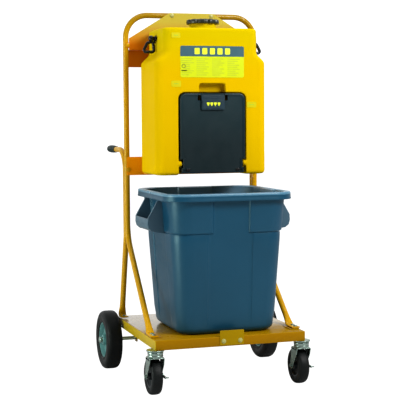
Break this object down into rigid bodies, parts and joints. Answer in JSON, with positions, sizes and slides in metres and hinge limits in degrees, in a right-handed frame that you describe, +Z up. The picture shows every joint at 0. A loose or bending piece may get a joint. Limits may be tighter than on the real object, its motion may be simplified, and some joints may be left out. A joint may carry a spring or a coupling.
{
  "type": "eyewash station",
  "caption": "Wheeled tube-frame eyewash station: gravity-fed water tank with a pull-down spray door above a waste-water container.",
  "frame": {"origin": "on the floor, under the middle of the station's overall box", "axes": "+Z up, -Y towards the front with the spray door, +X to the station's right as its user faces +Y"},
  "size_m": [0.8146, 0.863, 1.5486],
  "materials": {
    "frame_paint": "glossy yellow-orange powder coat",
    "tank_plastic": "bright yellow rotomoulded polyethylene",
    "door_plastic": "dark slate moulded plastic, fine texture",
    "tab_plastic": "slate moulded plastic",
    "black_rubber": "black rubber and rubbery plastic",
    "tyre_rubber": "black solid rubber tyre",
    "bin_plastic": "slate-blue moulded polyethylene",
    "zinc_steel": "zinc-plated steel",
    "label_film": "fluorescent yellow-green printed film",
    "fitting_plastic": "grey moulded fittings",
    "cap_plastic": "black moulded plastic",
    "core_plastic": "dark grey moulded wheel core"
  },
  "bodies": {
    "cart": {"deck_pan": "frame_paint", "main_tube": "frame_paint", "rear_tube_left": "frame_paint", "rear_tube_right": "frame_paint", "upper_plate": "frame_paint", "hanger_bar": "frame_paint", "lower_support_bar": "frame_paint", "front_stop_plate": "frame_paint", "front_cross_member": "frame_paint", "front_foot_left": "frame_paint", "front_foot_right": "frame_paint", "axle_bracket_left": "frame_paint", "axle_bracket_right": "frame_paint", "tank_bracket": "zinc_steel", "rear_axle": "zinc_steel", "top_bolt_left": "zinc_steel", "top_bolt_right": "zinc_steel", "side_bolt_left": "zinc_steel", "side_bolt_right": "zinc_steel", "lower_bolt_left": "zinc_steel", "lower_bolt_right": "zinc_steel", "stop_bolt_left": "zinc_steel", "stop_bolt_right": "zinc_steel", "caster_plate_left": "zinc_steel", "caster_plate_right": "zinc_steel", "hinge_pin_left": "zinc_steel", "hinge_pin_right": "zinc_steel", "tank_shell": "tank_plastic", "handle_grip_left": "black_rubber", "handle_grip_right": "black_rubber", "loop_stud_left": "black_rubber", "loop_stud_right": "black_rubber", "instruction_label": "label_film", "outlet_elbow": "fitting_plastic"},
    "rear_wheel_left": {"rear_tyre_left": "tyre_rubber", "rear_wheel_disc_left": "zinc_steel", "hub_cap_left": "zinc_steel"},
    "caster_left": {"caster_fork_left": "zinc_steel", "caster_axle_left": "zinc_steel"},
    "caster_wheel_left": {"caster_tyre_left": "tyre_rubber", "caster_core_left": "core_plastic"},
    "brake_left": {"brake_lever_left": "zinc_steel"},
    "loop_left": {"carry_loop_left": "black_rubber"},
    "rear_wheel_right": {"rear_tyre_right": "tyre_rubber", "rear_wheel_disc_right": "zinc_steel", "hub_cap_right": "zinc_steel"},
    "caster_right": {"caster_fork_right": "zinc_steel", "caster_axle_right": "zinc_steel"},
    "caster_wheel_right": {"caster_tyre_right": "tyre_rubber", "caster_core_right": "core_plastic"},
    "brake_right": {"brake_lever_right": "zinc_steel"},
    "loop_right": {"carry_loop_right": "black_rubber"},
    "door": {"spray_door": "door_plastic", "spray_manifold": "fitting_plastic", "spray_head_left": "fitting_plastic", "spray_head_right": "fitting_plastic"},
    "door_tab": {"pull_tab": "tab_plastic"},
    "seal": {"cap_seal": "black_rubber"},
    "cap": {"filler_cap": "cap_plastic"},
    "container": {"waste_container": "bin_plastic"}
  },
  "joints": [
    {"name": "rear_wheel_spin_left", "type": "hinge", "parent": "cart", "child": "rear_wheel_left", "pos_m": [-0.361, 0.1865, 0.127], "axis": [1, 0, 0], "continuous": true},
    {"name": "caster_swivel_left", "type": "hinge", "parent": "cart", "child": "caster_left", "pos_m": [-0.311, -0.3895, 0.173], "axis": [0, 0, 1], "continuous": true},
    {"name": "caster_spin_left", "type": "hinge", "parent": "caster_left", "child": "caster_wheel_left", "pos_m": [-0.311, -0.3575, 0.074], "axis": [1, 0, 0], "continuous": true},
    {"name": "brake_press_left", "type": "hinge", "parent": "caster_left", "child": "brake_left", "pos_m": [-0.275, -0.3575, 0.074], "axis": [1, 0, 0], "range_deg": [0, 25]},
    {"name": "loop_swing_left", "type": "hinge", "parent": "cart", "child": "loop_left", "pos_m": [-0.209, -0.0595, 1.427], "axis": [1, 0, 0], "range_deg": [-70, 70]},
    {"name": "rear_wheel_spin_right", "type": "hinge", "parent": "cart", "child": "rear_wheel_right", "pos_m": [0.361, 0.1865, 0.127], "axis": [1, 0, 0], "continuous": true},
    {"name": "caster_swivel_right", "type": "hinge", "parent": "cart", "child": "caster_right", "pos_m": [0.311, -0.3895, 0.173], "axis": [0, 0, 1], "continuous": true},
    {"name": "caster_spin_right", "type": "hinge", "parent": "caster_right", "child": "caster_wheel_right", "pos_m": [0.311, -0.3575, 0.074], "axis": [1, 0, 0], "continuous": true},
    {"name": "brake_press_right", "type": "hinge", "parent": "caster_right", "child": "brake_right", "pos_m": [0.347, -0.3575, 0.074], "axis": [1, 0, 0], "range_deg": [0, 25]},
    {"name": "loop_swing_right", "type": "hinge", "parent": "cart", "child": "loop_right", "pos_m": [0.209, -0.0595, 1.427], "axis": [1, 0, 0], "range_deg": [-70, 70]},
    {"name": "door_open", "type": "hinge", "parent": "cart", "child": "door", "pos_m": [0, -0.1765, 0.908], "axis": [1, 0, 0], "range_deg": [0, 90]},
    {"name": "tab_pull", "type": "hinge", "parent": "door", "child": "door_tab", "pos_m": [0, -0.196, 1.183], "axis": [-1, 0, 0], "range_deg": [0, 20]},
    {"name": "cap_turn", "type": "hinge", "parent": "seal", "child": "cap", "pos_m": [0, -0.0595, 1.5], "axis": [0, 0, 1], "range_deg": [0, 540]},
    {"name": "cap_rise", "type": "slide", "parent": "cart", "child": "seal", "axis": [0, 0, 1], "range_m": [0, 0.0091]},
    {"name": "container_lift", "type": "slide", "parent": "cart", "child": "container", "axis": [0, 0, 1], "range_m": [0, 0.05]}
  ],
  "couplings": [
    {"joint": "cap_rise", "follows": "cap_turn", "m_per_rad": 0.00095493}
  ]
}
